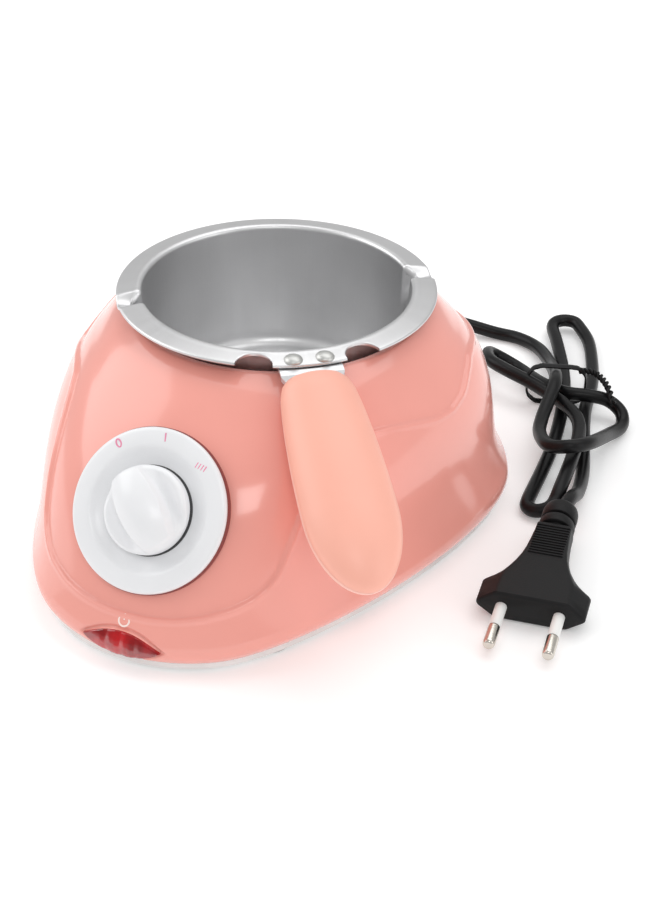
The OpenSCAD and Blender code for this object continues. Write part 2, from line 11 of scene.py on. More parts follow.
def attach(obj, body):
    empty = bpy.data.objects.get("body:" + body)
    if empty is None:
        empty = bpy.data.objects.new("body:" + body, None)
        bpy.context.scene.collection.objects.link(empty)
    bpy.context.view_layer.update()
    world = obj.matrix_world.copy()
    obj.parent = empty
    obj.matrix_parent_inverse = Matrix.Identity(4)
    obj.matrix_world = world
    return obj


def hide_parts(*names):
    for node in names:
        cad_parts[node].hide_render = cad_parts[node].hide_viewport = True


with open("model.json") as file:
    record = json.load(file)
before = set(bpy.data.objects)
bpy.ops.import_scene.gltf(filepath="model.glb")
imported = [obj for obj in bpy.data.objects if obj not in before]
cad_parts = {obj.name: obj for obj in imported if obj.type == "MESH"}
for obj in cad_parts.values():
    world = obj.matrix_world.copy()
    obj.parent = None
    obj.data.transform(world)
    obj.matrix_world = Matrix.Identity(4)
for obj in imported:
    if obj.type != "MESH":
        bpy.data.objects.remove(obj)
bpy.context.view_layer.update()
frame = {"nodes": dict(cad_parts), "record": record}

MM = 0.001
POT_Y = 15.5  # distance of the pot's axis behind the origin


# ---------------------------------------------------------------- camera

def make_camera():
    """The camera fitted to the photograph."""
    azimuth, pitch, roll = -0.41138, 0.558584, 0.013676
    forward = Vector((math.sin(azimuth) * math.cos(pitch), math.cos(azimuth) * math.cos(pitch),
                      -math.sin(pitch)))
    level = Vector((math.cos(azimuth), -math.sin(azimuth), 0))
    above = level.cross(forward)
    right = level * math.cos(roll) + above * math.sin(roll)
    up = above * math.cos(roll) - level * math.sin(roll)
    data = bpy.data.cameras.new("camera")
    data.lens = 76.0
    data.sensor_width = 36.0
    data.clip_start = 0.05
    ob = bpy.data.objects.new("camera", data)
    bpy.context.scene.collection.objects.link(ob)
    m = Matrix((right, up, -forward)).transposed().to_4x4()
    m.translation = Vector((241.19, -507.09 + POT_Y, 365.92)) * MM
    ob.matrix_world = m
    bpy.context.scene.camera = ob


make_camera()


# ---------------------------------------------------------------- mesh helpers

def new_mesh(name, verts, faces, smooth=True):
    """A mesh object from points in millimetres."""
    me = bpy.data.meshes.new(name)
    me.from_pydata([tuple(float(c) * MM for c in v) for v in verts], [], [tuple(f) for f in faces])
    me.validate()
    me.update()
    if smooth:
        me.polygons.foreach_set("use_smooth", [True] * len(me.polygons))
    ob = bpy.data.objects.new(name, me)
    bpy.context.scene.collection.objects.link(ob)
    return ob


def grid_faces(rows, cols, close_u=True, close_v=False, flip=False):
    """Quads of a rows by cols grid of points; u runs along a row."""
    out = []
    for i in range(rows if close_v else rows - 1):
        k = (i + 1) % rows
        for j in range(cols if close_u else cols - 1):
            m = (j + 1) % cols
            q = (i * cols + j, i * cols + m, k * cols + m, k * cols + j)
            out.append(q[::-1] if flip else q)
    return out


def loft(name, rings, cap_start=True, cap_end=True, flip=False, close_v=False, sharp=None):
    """Closed rings of equal length, joined into one skin."""
    rings = np.asarray(rings, float)
    rows, cols = rings.shape[:2]
    faces = grid_faces(rows, cols, True, close_v, flip)
    if cap_start and not close_v:
        f = tuple(range(cols))
        faces.append(f if flip else f[::-1])
    if cap_end and not close_v:
        f = tuple(range((rows - 1) * cols, rows * cols))
        faces.append(f[::-1] if flip else f)
    ob = new_mesh(name, rings.reshape(-1, 3), faces)
    if sharp:
        sharpen(ob, sharp)
    return ob


def sharpen(ob, degrees):
    """Smooth shading that breaks at edges sharper than this."""
    ob.data.set_sharp_from_angle(angle=math.radians(degrees))


def lathe(name, profile, place, n=96, sharp=35, closed=False):
    """A surface turned about local Z from (radius, height) points, then placed by a function."""
    ang = np.linspace(0, 2 * math.pi, n, endpoint=False)
    rings = [[(max(r, 1e-4) * math.cos(a), max(r, 1e-4) * math.sin(a), z) for a in ang]
             for r, z in profile]
    rings = place(np.asarray(rings, float))
    return loft(name, rings, not closed, not closed, close_v=closed, sharp=sharp)


def frame_place(origin, x, y, z):
    """A function that puts local points into the row's frame."""
    basis = np.array([x, y, z], float)
    origin = np.array(origin, float)
    return lambda p: np.asarray(p, float) @ basis + origin


def smoothstep(u):
    """Smooth rise from 0 to 1 as u goes from 0 to 1."""
    u = np.clip(u, 0, 1)
    return u * u * (3 - 2 * u)


def curve_points(points, steps):
    """The same smooth curve through the points that the CAD sweeps along."""
    p = np.asarray(points, float)
    n = len(p)
    out = []
    for i in range(n - 1):
        a, b, c, d = p[max(0, i - 1)], p[i], p[i + 1], p[min(n - 1, i + 2)]
        for j in range(steps):
            t = j / steps
            out.append(0.5 * (2 * b + (c - a) * t + (2 * a - 5 * b + 4 * c - d) * t * t
                              + (3 * b - a - 3 * c + d) * t ** 3))
    out.append(p[-1])
    return np.array(out)


def tube(name, points, radius, sides=16, flat=1.0, up=(0, 0, 1), closed=False):
    """A tube along the points; flat squeezes it across the up direction."""
    p = np.asarray(points, float)
    n = len(p)
    rings = []
    for i in range(n):
        a = p[(i - 1) % n] if closed else p[max(0, i - 1)]
        b = p[(i + 1) % n] if closed else p[min(n - 1, i + 1)]
        t = (b - a) / np.linalg.norm(b - a)
        side = np.cross(np.array(up, float), t)
        side /= np.linalg.norm(side)
        top = np.cross(t, side)
        rings.append([p[i] + radius * (math.cos(k) * side + flat * math.sin(k) * top)
                      for k in np.linspace(0, 2 * math.pi, sides, endpoint=False)])
    return loft(name, rings, not closed, not closed, close_v=closed, sharp=40)


# ---------------------------------------------------------------- materials

def material(name, colour, rough, metal=0.0, vary=0.05, scale=70.0, rough_vary=0.05, grain=900.0,
             bump=0.05, coat=0.0, transmission=0.0, spec=0.5):
    """Procedural plastic, rubber or metal: slow colour drift, uneven gloss and a fine grain."""
    m = bpy.data.materials.new(name)
    m.use_nodes = True
    nt = m.node_tree
    bsdf = nt.nodes["Principled BSDF"]
    bsdf.inputs["Metallic"].default_value = metal
    bsdf.inputs["Coat Weight"].default_value = coat
    bsdf.inputs["Coat Roughness"].default_value = 0.06
    bsdf.inputs["Transmission Weight"].default_value = transmission
    bsdf.inputs["Specular IOR Level"].default_value = spec
    where = nt.nodes.new("ShaderNodeTexCoord")
    drift = nt.nodes.new("ShaderNodeTexNoise")
    drift.inputs["Scale"].default_value = scale
    drift.inputs["Detail"].default_value = 4.0
    nt.links.new(where.outputs["Object"], drift.inputs["Vector"])
    ramp = nt.nodes.new("ShaderNodeValToRGB")
    ramp.color_ramp.elements[0].position = 0.3
    ramp.color_ramp.elements[1].position = 0.7
    low = [max(0.0, c * (1 - vary)) for c in colour]
    high = [min(1.0, c * (1 + vary)) for c in colour]
    ramp.color_ramp.elements[0].color = (*low, 1)
    ramp.color_ramp.elements[1].color = (*high, 1)
    nt.links.new(drift.outputs["Fac"], ramp.inputs["Fac"])
    nt.links.new(ramp.outputs["Color"], bsdf.inputs["Base Color"])
    gloss = nt.nodes.new("ShaderNodeMapRange")
    gloss.inputs["To Min"].default_value = max(0.02, rough - rough_vary)
    gloss.inputs["To Max"].default_value = min(1.0, rough + rough_vary)
    nt.links.new(drift.outputs["Fac"], gloss.inputs["Value"])
    nt.links.new(gloss.outputs["Result"], bsdf.inputs["Roughness"])
    if bump:
        fine = nt.nodes.new("ShaderNodeTexNoise")
        fine.inputs["Scale"].default_value = grain
        fine.inputs["Detail"].default_value = 3.0
        nt.links.new(where.outputs["Object"], fine.inputs["Vector"])
        relief = nt.nodes.new("ShaderNodeBump")
        relief.inputs["Strength"].default_value = bump
        relief.inputs["Distance"].default_value = 0.0002
        nt.links.new(fine.outputs["Fac"], relief.inputs["Height"])
        nt.links.new(relief.outputs["Normal"], bsdf.inputs["Normal"])
    return m


def spun_metal(name, colour, rough, streak=0.35, around=True, bump=0.12):
    """Sheet metal with fine streaks round the pot's axis, or away from it."""
    m = material(name, colour, rough, metal=1.0, vary=0.03, scale=40, bump=0)
    nt = m.node_tree
    bsdf = nt.nodes["Principled BSDF"]
    where = next(n for n in nt.nodes if n.type == "TEX_COORD")
    split = nt.nodes.new("ShaderNodeSeparateXYZ")
    shift = nt.nodes.new("ShaderNodeVectorMath")
    shift.operation = "SUBTRACT"
    shift.inputs[1].default_value = (0, POT_Y * MM, 0)
    nt.links.new(where.outputs["Object"], shift.inputs[0])
    nt.links.new(shift.outputs["Vector"], split.inputs[0])
    turn = nt.nodes.new("ShaderNodeMath")
    turn.operation = "ARCTAN2"
    nt.links.new(split.outputs["Y"], turn.inputs[0])
    nt.links.new(split.outputs["X"], turn.inputs[1])
    length = nt.nodes.new("ShaderNodeVectorMath")
    length.operation = "LENGTH"
    flat = nt.nodes.new("ShaderNodeCombineXYZ")
    nt.links.new(split.outputs["X"], flat.inputs["X"])
    nt.links.new(split.outputs["Y"], flat.inputs["Y"])
    nt.links.new(flat.outputs["Vector"], length.inputs[0])
    mix = nt.nodes.new("ShaderNodeCombineXYZ")
    sources = (turn.outputs[0], length.outputs["Value"], split.outputs["Z"])
    stretch = (1.2, 1500.0, 900.0) if around else (90.0, 12.0, 12.0)
    for axis, source, factor in zip("XYZ", sources, stretch):
        times = nt.nodes.new("ShaderNodeMath")
        times.operation = "MULTIPLY"
        times.inputs[1].default_value = factor
        nt.links.new(source, times.inputs[0])
        nt.links.new(times.outputs[0], mix.inputs[axis])
    lines = nt.nodes.new("ShaderNodeTexNoise")
    lines.inputs["Scale"].default_value = 1.0
    lines.inputs["Detail"].default_value = 6.0
    nt.links.new(mix.outputs["Vector"], lines.inputs["Vector"])
    gloss = next(n for n in nt.nodes if n.type == "MAP_RANGE")
    gloss.inputs["To Min"].default_value = max(0.05, rough - streak * 0.5)
    gloss.inputs["To Max"].default_value = min(1.0, rough + streak * 0.5)
    nt.links.new(lines.outputs["Fac"], gloss.inputs["Value"])
    relief = nt.nodes.new("ShaderNodeBump")
    relief.inputs["Strength"].default_value = bump
    relief.inputs["Distance"].default_value = 0.0002
    nt.links.new(lines.outputs["Fac"], relief.inputs["Height"])
    nt.links.new(relief.outputs["Normal"], bsdf.inputs["Normal"])
    return m


MATS = {
    "pink_shell": material("pink_shell", (0.89, 0.365, 0.305), 0.17, vary=0.025, scale=25,
                           rough_vary=0.03, grain=260, bump=0.02, coat=0.35),
    "white_plastic": material("white_plastic", (0.82, 0.81, 0.80), 0.42, grain=1500, bump=0.12),
    "dial_white": material("dial_white", (0.84, 0.845, 0.86), 0.30, vary=0.015, grain=900,
                           bump=0.06, coat=0.15),
    "foot_rubber": material("foot_rubber", (0.62, 0.61, 0.60), 0.75, grain=2500, bump=0.3),
    "zinc_screw": material("zinc_screw", (0.60, 0.60, 0.58), 0.42, metal=1.0, vary=0.08,
                           scale=300, rough_vary=0.1, grain=2500, bump=0.15),
    "well_metal": spun_metal("well_metal", (0.70, 0.71, 0.72), 0.36),
    "dark_fibre": material("dark_fibre", (0.045, 0.042, 0.04), 0.7, vary=0.2, grain=2500, bump=0.4),
    "mica": material("mica", (0.36, 0.31, 0.23), 0.5, vary=0.2, scale=200, grain=1500, bump=0.4),
    "fuse_ceramic": material("fuse_ceramic", (0.62, 0.56, 0.44), 0.55, grain=2500, bump=0.2),
    "switch_black": material("switch_black", (0.02, 0.02, 0.022), 0.5, vary=0.2, grain=2500,
                             bump=0.2),
    "terminal_brass": material("terminal_brass", (0.72, 0.52, 0.22), 0.3, metal=1.0, vary=0.1,
                               scale=300, grain=2000, bump=0.1),
    "lens_red": material("lens_red", (0.40, 0.005, 0.008), 0.16, vary=0.45, scale=150, grain=500,
                         bump=0.05, coat=0.08, transmission=0.1, spec=0.3),
    "lamp_glass": material("lamp_glass", (0.85, 0.42, 0.25), 0.05, grain=900, bump=0.02,
                           transmission=0.7),
    "wire_insulation": material("wire_insulation", (0.25, 0.08, 0.05), 0.35, vary=0.3, grain=2500,
                                bump=0.1),
    "cord_black": material("cord_black", (0.006, 0.006, 0.0065), 0.32, vary=0.25, scale=120,
                           rough_vary=0.08, grain=1400, bump=0.18, spec=0.2),
    "plug_black": material("plug_black", (0.008, 0.008, 0.0085), 0.46, vary=0.2, scale=160,
                           rough_vary=0.08, grain=2600, bump=0.3, spec=0.2),
    "pin_nickel": material("pin_nickel", (0.66, 0.62, 0.56), 0.2, metal=1.0, vary=0.06, scale=500,
                           rough_vary=0.1, grain=3000, bump=0.12),
    "sleeve_white": material("sleeve_white", (0.85, 0.85, 0.83), 0.4, vary=0.02, grain=2500,
                             bump=0.08),
    "pot_aluminium": spun_metal("pot_aluminium", (0.70, 0.70, 0.705), 0.38, streak=0.25,
                                around=False, bump=0.10),
    "handle_peach": material("handle_peach", (0.95, 0.46, 0.355), 0.40, vary=0.03, scale=35,
                             grain=1300, bump=0.12),
    "handle_pale": material("handle_pale", (0.97, 0.56, 0.47), 0.38, vary=0.03, scale=35,
                            grain=1300, bump=0.12),
}
MARK_PINK = material("mark_pink", (0.82, 0.27, 0.42), 0.45, vary=0.06, grain=2500, bump=0.05)
# Painted shadow: a near-black ring for the shade in the gap round the knob.
PAINTED_SHADOW_GREY = material("painted_shadow_grey", (0.05, 0.05, 0.052), 0.6, vary=0.1, grain=2500, bump=0.05)
# Painted shade: a darkened copy of the pink body colour, for the ring in the gap round the dial
# bezel.
PAINTED_SHADE_PINK = material("painted_shade_pink", (0.22, 0.045, 0.04), 0.5, vary=0.1, grain=2500, bump=0.05)
MARK_PALE = material("mark_pale", (0.97, 0.80, 0.74), 0.35, vary=0.03, grain=2500, bump=0.05)


def dress(ob, slot_name, body, *nodes, mat=None):
    """Give a new piece its material, its body and the CAD nodes it stands for."""
    ob.data.materials.clear()
    ob.data.materials.append(mat or MATS[slot_name])
    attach(ob, body)
    if nodes:
        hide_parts(*nodes)
    return ob


# ---------------------------------------------------------------- cord and plug

FLOOR = 2.6  # height of the cord's centreline where it lies on the worktop
CORD_D = 5.0


def rounded_section(corners, radius, k=4):
    """A convex outline with its corners rounded, as 2-D points."""
    c = np.asarray(corners, float)
    n = len(c)
    out = []
    for i in range(n):
        a, b, d = c[i - 1], c[i], c[(i + 1) % n]
        u, v = a - b, d - b
        lu, lv = np.linalg.norm(u), np.linalg.norm(v)
        r = min(radius, lu * 0.45, lv * 0.45)
        p, q = b + u / lu * r, b + v / lv * r
        for j in range(k + 1):
            t = j / k
            out.append((1 - t) ** 2 * p + 2 * t * (1 - t) * b + t * t * q)
    return np.array(out)


CORD_ROUTE = [
    (0, 120, 12), (2, 131, 10.5), (14, 145.5, 6.5), (32.5, 150.5, FLOOR), (43, 150, FLOOR),
    (53.5, 143.5, 3.5), (64, 126.5, 7), (72, 105.5, 14), (73.5, 93.5, 12), (74.5, 83, 10),
    (77, 73, 10), (84, 61.5, 13), (92, 60, 15.5), (97, 67.5, 14), (98, 89.5, 5.5),
    (99.5, 101.5, FLOOR), (97.5, 108, 4.5), (91.5, 110.5, 7), (84.5, 108.5, 8.5),
    (76, 107, 8.5), (65, 113, 6.5), (51, 127, FLOOR), (42.5, 127.5, 5.5), (39.5, 123, 9),
    (43.5, 114, 11), (51.5, 109.5, 11), (60.5, 107, 10), (68.5, 104, 9), (77.5, 99, 8.5),
    (85, 91.5, 8.5), (89.5, 80.5, 8.5), (92.5, 62.5, 9), (94, 46, 7.4), (94, 39.4, 5),
    (92.6, 36, 4), (89.2, 34.6, 3), (85.8, 36, FLOOR), (84.4, 39.4, FLOOR),
    (83.6, 48, FLOOR), (82.6, 61, FLOOR), (81, 76, FLOOR), (77.5, 96.5, FLOOR),
    (72.5, 117, FLOOR), (66.5, 134, FLOOR), (57.5, 153, 3.5), (53, 162, 3.5),
    (52.5, 166.2, 4), (55, 169.6, 4), (59.2, 170.1, 4), (62.6, 167.5, 3.5),
    (69.5, 158, FLOOR), (76.5, 140, FLOOR), (80.5, 126, FLOOR), (84.5, 104.5, FLOOR),
    (91, 82.5, FLOOR), (96.5, 64, FLOOR), (99.6, 48, 5.6), (100.2, 37.6, 9.6),
    (100.1, 28.1, 10.2)]


def make_cord():
    """The mains cord along its route, and its length in millimetres."""
    line = curve_points(CORD_ROUTE, 6)
    data = bpy.data.curves.new("cord_line", "CURVE")
    data.dimensions = "3D"
    data.bevel_depth = CORD_D / 2 * MM
    data.bevel_resolution = 5
    data.use_fill_caps = True
    s = data.splines.new("POLY")
    s.points.add(len(line) - 1)
    for q, p in zip(s.points, line):
        q.co = (p[0] * MM, p[1] * MM, p[2] * MM, 1)
    s.use_smooth = True
    ob = bpy.data.objects.new("cord", data)
    bpy.context.scene.collection.objects.link(ob)
    dress(ob, "cord_black", "casing", "mains_cord")
    return ob, float(np.linalg.norm(np.diff(line, axis=0), axis=1).sum())


CORD, CORD_LEN = make_cord()

PLUG_TILT, PLUG_TURN = math.radians(5), math.radians(7.5)
PLUG_HALF = 5.5
PLUG_LEN = 40.0
PIN_X = 9.3  # distance of each pin from the plug's middle
RIBS, RIB_FROM, RIB_PITCH, RIB_LEN = 12, 22.6, 1.35, 0.8


def plug_frame():
    """Places the plug as it lies: turned on the worktop and a little nose-down."""
    ct, st = math.cos(PLUG_TILT), math.sin(PLUG_TILT)
    cy, sy = math.cos(PLUG_TURN), math.sin(PLUG_TURN)
    return frame_place((107, -24.5, PLUG_HALF + 0.1), (cy, sy, 0),
                       (-sy * ct, cy * ct, st), (sy * st, -cy * st, ct))


at_plug = plug_frame()


def plug_ring(y, half_w, half_h, top_w, inset=0.0, radius=0.9):
    """One section of the plug's body: a flattened hexagon, or nearly a rectangle at the neck."""
    w, h, t = half_w - inset, half_h - inset, top_w - inset * 0.6
    corners = [(w, 0.9), (t, h), (-t, h), (-w, 0.9), (-w, -0.9), (-t, -h), (t, -h), (w, -0.9)]
    return [(p[0], y, p[1]) for p in rounded_section(corners, radius)]


def make_plug():
    """Body, grip ribs, neck, sleeves and pins of the plug; the list of its pieces."""
    made = []
    stations = [(0, 17.6, 5.5, 11.6, 0.9), (0.25, 17.6, 5.5, 11.6, 0.4), (0.8, 17.6, 5.5, 11.6, 0),
                (4, 17.6, 5.5, 11.5, 0), (8, 17.6, 5.5, 11.3, 0), (10.2, 17.6, 5.5, 11.2, 0),
                (10.9, 17.1, 5.5, 11.0, 0), (11.8, 15.8, 5.5, 10.8, 0), (13, 14.2, 5.5, 10.4, 0),
                (15, 12.3, 5.5, 9.6, 0), (18, 10.2, 5.5, 8.5, 0), (22, 8.5, 5.4, 7.4, 0),
                (26, 7.5, 5.3, 6.7, 0), (31, 6.9, 5.2, 6.2, 0), (36, 6.5, 5.1, 5.8, 0),
                (39.4, 6.4, 5.0, 5.7, 0), (PLUG_LEN, 6.4, 5.0, 5.7, 0.5)]
    rings = [at_plug(plug_ring(y, w, h, t, i)) for y, w, h, t, i in stations]
    made.append(dress(loft("plug_shell", rings, sharp=32), "plug_black", "casing", "plug_body"))
    verts, faces = [], []
    for s in (-1, 1):
        for k in range(RIBS):
            y0 = RIB_FROM + k * RIB_PITCH
            z0 = s * (5.42 - 0.022 * (y0 - 22))
            w = 5.6 if k else 5.8
            sec = [(y0, z0 - s * 0.8), (y0 + 0.05, z0 + s * 0.28), (y0 + 0.25, z0 + s * 0.42),
                   (y0 + RIB_LEN - 0.25, z0 + s * 0.42), (y0 + RIB_LEN - 0.05, z0 + s * 0.28),
                   (y0 + RIB_LEN, z0 - s * 0.8)]
            base = len(verts)
            for x, shrink in ((-w, 0.3), (-w + 0.25, 0), (w - 0.25, 0), (w, 0.3)):
                for y, z in sec:
                    verts.append((x, y, z - s * shrink))
            for a in range(3):
                for b in range(5):
                    q = (base + a * 6 + b, base + a * 6 + b + 1, base + a * 6 + b + 7,
                         base + a * 6 + b + 6)
                    faces.append(q if s > 0 else q[::-1])
                q = (base + a * 6 + 5, base + a * 6, base + a * 6 + 6, base + a * 6 + 11)
                faces.append(q if s > 0 else q[::-1])
            for a, turn in ((0, False), (3, True)):
                f = tuple(base + a * 6 + b for b in range(6))
                faces.append(f[::-1] if turn == (s > 0) else f)
    ribs = new_mesh("plug_ribs", at_plug(verts), faces, smooth=False)
    made.append(dress(ribs, "plug_black", "casing", "plug_grips"))
    middle = at_plug([(0, 0, 0)])[0]
    turned = frame_place(at_plug([(0, PLUG_LEN, 0)])[0], at_plug([(1, 0, 0)])[0] - middle,
                         at_plug([(0, 0, -1)])[0] - middle, at_plug([(0, 1, 0)])[0] - middle)
    profile = [(0, 0), (4.7, 0), (4.7, 0.7), (5.6, 0.7), (5.95, 0.85), (6.1, 1.2), (6.1, 4.1),
               (5.95, 4.5), (5.5, 4.7), (4.75, 4.7), (4.75, 5.9), (5.4, 5.9), (5.8, 6.1), (6, 6.6),
               (6.05, 9.5), (5.95, 11), (5.7, 12), (5.2, 12.7), (4.5, 13.15), (3.4, 13.3),
               (2.55, 13.3), (0, 13.2)]
    made.append(dress(lathe("plug_neck", profile, turned, 56), "plug_black", "casing",
                      "plug_collar"))
    sleeves, pins = [], []
    for x in (-PIN_X, PIN_X):
        origin = at_plug([(x, 0, 0)])[0]
        down = frame_place(origin, at_plug([(x + 1, 0, 0)])[0] - origin,
                           at_plug([(x, 0, 1)])[0] - origin, at_plug([(x, -1, 0)])[0] - origin)
        sleeves.append(([(1.5, -0.4), (1.9, -0.4), (1.9, 9.6), (1.82, 9.85), (1.6, 10), (1.5, 10)],
                        down))
        pins.append(([(0, -7), (1.5, -7), (1.5, 9.9), (1.85, 10.02), (1.98, 10.2), (2, 10.6),
                      (2, 17.6), (1.9, 18.2), (1.6, 18.7), (1.1, 18.95), (0, 19)], down))
    for label, parts, slot_name, node in (("pin_sleeve", sleeves, "sleeve_white", "pin_sleeves"),
                                          ("pin_tip", pins, "pin_nickel", "plug_pins")):
        for side, (profile, place) in zip(("left", "right"), parts):
            ob = lathe(label + "_" + side, profile, place, 40, closed=label == "pin_sleeve")
            made.append(dress(ob, slot_name, "casing", node))
    return made


PLUG_PIECES = make_plug()


def make_tie():
    """Thin band round the bundle, and its twisted tail."""
    turn = math.radians(20)
    place = frame_place((70.5, 112, 0.1), (math.cos(turn), math.sin(turn), 0), (0, 0, 1),
                        (math.sin(turn), -math.cos(turn), 0))
    half_w, top, r = 10.9, 15.7, 5.5
    loop = []
    for cx, cz, a0 in ((half_w - r, top - r, 0), (r - half_w, top - r, 90),
                       (r - half_w, r + 0.4, 180), (half_w - r, r + 0.4, 270)):
        for a in range(0, 91, 10):
            k = math.radians(a0 + a)
            loop.append((cx + r * math.cos(k), cz + r * math.sin(k)))
    rings = []
    n = len(loop)
    for i in range(n):
        a, b = np.array(loop[i - 1]), np.array(loop[(i + 1) % n])
        t = (b - a) / np.linalg.norm(b - a)
        out = np.array((t[1], -t[0]))
        c = np.array(loop[i])
        wobble = 0.25 * math.sin(i * 1.7)
        ring = []
        for dn, ds in ((-0.3, -1.3), (0.3, -1.45), (0.55, -0.5), (0.55, 0.5), (0.3, 1.45),
                       (-0.3, 1.3)):
            p = c + out * dn
            ring.append((p[0], p[1], ds + wobble))
        rings.append(place(ring))
    band = loft("tie_band", rings, close_v=True, sharp=50)
    dress(band, "plug_black", "casing", "cord_tie")
    core = curve_points([(78.5, 114.6, 14.6), (84, 117, 13.4), (90, 112, 12.4),
                         (95, 104.5, 9.6)], 16)
    strands = []
    for phase in (0, math.pi):
        line = []
        for i, p in enumerate(core):
            t = core[min(len(core) - 1, i + 1)] - core[max(0, i - 1)]
            t = t / np.linalg.norm(t)
            side = np.cross((0, 0, 1), t)
            side /= np.linalg.norm(side)
            above = np.cross(t, side)
            k = phase + i * 0.75
            line.append(p + 0.75 * (math.cos(k) * side + math.sin(k) * above))
        strands.append(tube("tie_tail_%d" % (len(strands) + 1), line, 0.62, 8))
    for s in strands:
        dress(s, "plug_black", "casing", "cord_tie")
    return [band] + strands


TIE = make_tie()


# ---------------------------------------------------------------- housing

BASE_Z, MOUTH_Z, MOUTH_R = 4.0, 73.5, 50.0
DIAL_SLOPE = math.radians(55)
DIAL_AT = np.array([0, POT_Y - 90.3, 44.4])
DIAL_N = np.array([0, -math.sin(DIAL_SLOPE), math.cos(DIAL_SLOPE)])
DIAL_Y = np.array([0, math.cos(DIAL_SLOPE), math.sin(DIAL_SLOPE)])
at_dial = frame_place(DIAL_AT, (1, 0, 0), DIAL_Y, DIAL_N)
LENS_Z, LENS_W, LENS_H = 8.6, 13.5, 4.6
LENS_R = (LENS_W ** 2 + LENS_H ** 2) / (2 * LENS_H)
WALL = 2.6  # thickness of the housing

# Height of the embossed line as a share of the body, against the angle from the front.
RIDGE_LINE = [(0, 0.196), (8, 0.197), (16, 0.205), (24, 0.219), (33, 0.249), (38.5, 0.28),
              (42, 0.32), (44.3, 0.37), (45.3, 0.443), (45.9, 0.52), (47, 0.62), (49.5, 0.70),
              (53, 0.755), (58, 0.795), (63, 0.797), (70, 0.78), (77, 0.75), (83, 0.717),
              (88, 0.708), (93, 0.73), (98, 0.777), (104, 0.81), (110, 0.808), (120, 0.78),
              (140, 0.73), (160, 0.70), (180, 0.69)]


def bez(p, t):
    """Value at t of a cubic curve with four control values."""
    return ((1 - t) ** 3 * p[0] + 3 * t * (1 - t) ** 2 * p[1] + 3 * t * t * (1 - t) * p[2]
            + t ** 3 * p[3])


def skin(a, t, inset=0.0):
    """Points of the housing's surface at angle a and share t of its height, as the CAD has it."""
    w = smoothstep((np.sin(a) + 0.85) / 1.2)
    rf, rr = bez((57, 55, 66, MOUTH_R), t), bez((85, 64, 87, MOUTH_R), t)
    sf, sr = bez((61, 42, 42, 0), t), bez((2, 0, -1, 0), t)
    r = rf + (rr - rf) * w - 7 * np.maximum(0, 1 - t / 0.12) ** 2 - inset
    p = np.stack([r * np.cos(a), POT_Y - sf + (sr + sf) * w + r * np.sin(a),
                  BASE_Z + (MOUTH_Z - BASE_Z - inset) * t + 0 * a], -1)
    s = (p - DIAL_AT) @ DIAL_N + inset
    soft = np.where(s < -20, s, -1.5 * np.log1p(np.exp(-np.clip(s, -30, 60) / 1.5)))
    return p - (s - soft)[..., None] * DIAL_N


def grid_normals(p):
    """Outward normals of a closed grid of points."""
    du = np.roll(p, -1, 1) - np.roll(p, 1, 1)
    dv = np.gradient(p, axis=0)
    n = np.cross(du, dv)
    return n / (np.linalg.norm(n, axis=-1, keepdims=True) + 1e-9)


def lens_distance(x, z):
    """Below zero inside the lens's pointed oval, in millimetres."""
    up = np.hypot(x, z - (LENS_Z - (LENS_R - LENS_H))) - LENS_R
    down = np.hypot(x, z - (LENS_Z + (LENS_R - LENS_H))) - LENS_R
    return np.maximum(up, down)


def ridge_distance(p, a, t):
    """Distance from the embossed line, above zero on its upper side."""
    phi = np.abs((np.degrees(a) - 270 + 180) % 360 - 180)
    k = np.linspace(0, 180, 720)
    lv = np.interp(k, [q[0] for q in RIDGE_LINE], [q[1] for q in RIDGE_LINE])
    for _ in range(6):
        lv[1:-1] = (lv[:-2] + 2 * lv[1:-1] + lv[2:]) / 4
    level = np.interp(phi, k, lv)
    k, lv = np.linspace(0, 180, 7200), np.interp(np.linspace(0, 180, 7200), k, lv)
    ang = np.radians(np.concatenate([270 + k, 270 - k[::-1]]))
    line = skin(ang, np.concatenate([lv, lv[::-1]]))
    tree = KDTree(len(line))
    for i, q in enumerate(line):
        tree.insert(q, i)
    tree.balance()
    flat = p.reshape(-1, 3)
    near = np.abs(t - level).reshape(-1) < 0.25
    dist = np.full(len(flat), 9.0)
    for i in np.nonzero(near)[0]:
        dist[i] = tree.find(flat[i])[2]
    return np.where(t > level, 1, -1) * dist.reshape(t.shape)


def make_housing():
    """Outer skin with the embossed line and the groove round the lens, the mouth's rim and the
    inner skin.
    """
    cols = 760
    rows = 210
    a = np.linspace(0, 2 * math.pi, cols, endpoint=False)
    t = np.concatenate([np.linspace(0, 0.16, rows // 5, endpoint=False),
                        np.linspace(0.16, 1, rows - rows // 5)])
    ga, gt = np.meshgrid(a, t)
    p = skin(ga, gt)
    n = grid_normals(p)
    d = ridge_distance(p, ga, gt)
    fade = smoothstep((0.97 - gt) / 0.1)
    push = -0.85 * smoothstep(d / 1.1) * fade + 0.38 * np.exp(-((d + 0.5) / 0.9) ** 2)
    front = smoothstep((-60 - p[..., 1]) / 10)
    gap = np.exp(-((lens_distance(p[..., 0], p[..., 2]) - 0.25) / 0.5) ** 2)
    push = push - 0.9 * gap * front
    p = p + n * push[..., None]
    p[..., 2] = np.maximum(p[..., 2], BASE_Z)
    rings = list(p)
    for r, z in ((49.75, 73.62), (49.2, 73.7), (48.2, 73.7), (47.6, 73.55), (47.3, 73.1),
                 (47.3, 72.0), (47.3, 70.9)):
        rings.append(np.stack([r * np.cos(a), POT_Y + r * np.sin(a), np.full(cols, z)], -1))
    for k in np.linspace(0.995, 0, 14):
        rings.append(skin(a, np.full(cols, k), WALL))
    ob = loft("housing_skin", rings, close_v=True, sharp=60)
    dress(ob, "pink_shell", "casing", "upper_housing")


make_housing()


